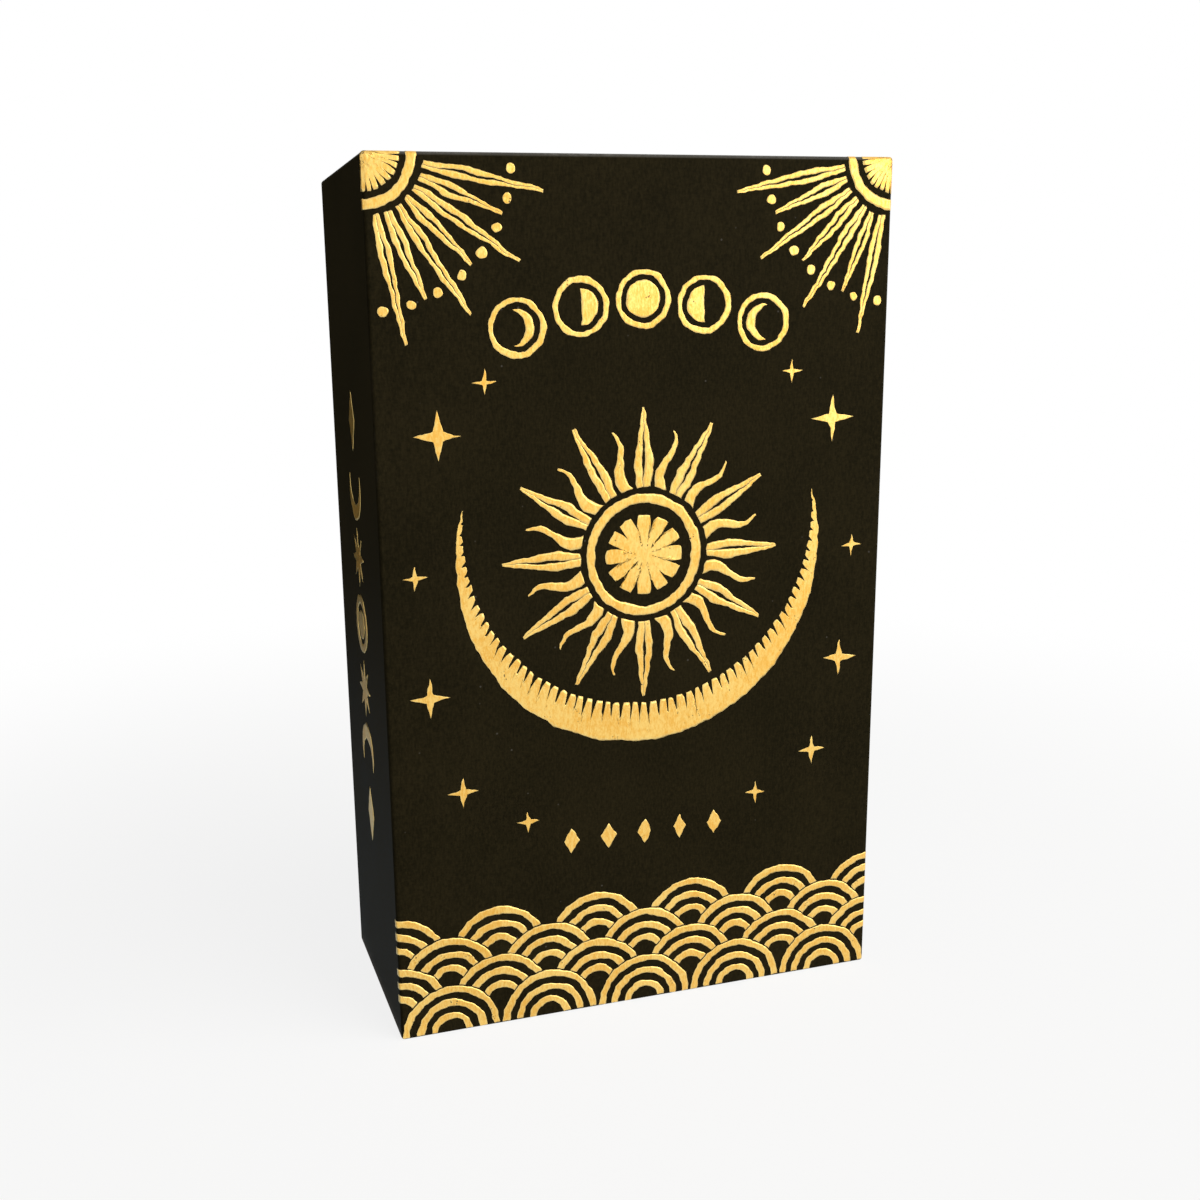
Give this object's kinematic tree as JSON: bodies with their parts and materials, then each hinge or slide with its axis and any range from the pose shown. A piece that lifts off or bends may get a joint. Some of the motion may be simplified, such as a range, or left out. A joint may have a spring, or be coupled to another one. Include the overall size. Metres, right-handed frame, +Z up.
{
  "type": "boxed tarot card deck",
  "caption": "Upright rigid black box with gold foil line art; its lid lifts off a tray that holds a deck of tarot cards and a stitched guide booklet.",
  "frame": {"origin": "middle of the tail face that the closed box stands on", "axes": "+Z up along the box's height, the stamped front towards -Y, the spine towards -X"},
  "size_m": [0.08, 0.036, 0.13],
  "materials": {
    "black_wrap": "matte soft-touch",
    "black_liner": "matte",
    "greyboard": "raw",
    "kraft_tape": "matte",
    "gold_foil": "stamped foil",
    "guide_cover_paper": "satin",
    "guide_paper": "uncoated",
    "staple_wire": "bright",
    "card_stock": "satin laminate"
  },
  "bodies": {
    "tray": {"tray_wrap": "black_wrap", "tray_back_board": "greyboard", "tray_spine_board": "greyboard", "tray_fore_board": "greyboard", "tray_head_board": "greyboard", "tray_tail_board": "greyboard", "tray_corner_stays": "kraft_tape", "tray_liner": "black_liner"},
    "minor_arcana": {"pentacles_cards": "card_stock", "swords_cards": "card_stock", "cups_cards": "card_stock", "wands_cards": "card_stock"},
    "major_arcana": {"major_card_01": "card_stock", "major_card_02": "card_stock", "major_card_03": "card_stock", "major_card_04": "card_stock", "major_card_05": "card_stock", "major_card_06": "card_stock", "major_card_07": "card_stock", "major_card_08": "card_stock", "major_card_09": "card_stock", "major_card_10": "card_stock", "major_card_11": "card_stock", "major_card_12": "card_stock", "major_card_13": "card_stock", "major_card_14": "card_stock", "major_card_15": "card_stock", "major_card_16": "card_stock", "major_card_17": "card_stock", "major_card_18": "card_stock", "major_card_19": "card_stock", "major_card_20": "card_stock", "major_card_21": "card_stock"},
    "top_card": {"major_card_00": "card_stock"},
    "guide_booklet": {"guide_cover": "guide_cover_paper", "guide_sheets": "guide_paper", "guide_staples": "staple_wire", "guide_emblem": "gold_foil"},
    "lid": {"lid_wrap": "black_wrap", "lid_front_board": "greyboard", "lid_spine_board": "greyboard", "lid_fore_board": "greyboard", "lid_head_board": "greyboard", "lid_tail_board": "greyboard", "lid_corner_stays": "kraft_tape", "lid_liner": "black_liner", "foil_sun": "gold_foil", "foil_crescent": "gold_foil", "foil_moon_phases": "gold_foil", "foil_corner_fans": "gold_foil", "foil_waves": "gold_foil", "foil_stars": "gold_foil", "foil_spine": "gold_foil"}
  },
  "joints": [
    {"name": "deck_lift", "type": "slide", "parent": "tray", "child": "minor_arcana", "axis": [0, -1, 0], "range_m": [0, 0.03]},
    {"name": "major_lift", "type": "slide", "parent": "minor_arcana", "child": "major_arcana", "axis": [0, -1, 0], "range_m": [0, 0.012]},
    {"name": "card_draw", "type": "slide", "parent": "major_arcana", "child": "top_card", "axis": [0, -1, 0], "range_m": [0, 0.012]},
    {"name": "guide_lift", "type": "slide", "parent": "top_card", "child": "guide_booklet", "axis": [0, -1, 0], "range_m": [0, 0.015]},
    {"name": "lid_pull", "type": "slide", "parent": "guide_booklet", "child": "lid", "axis": [0, -1, 0], "range_m": [0, 0.045]}
  ]
}
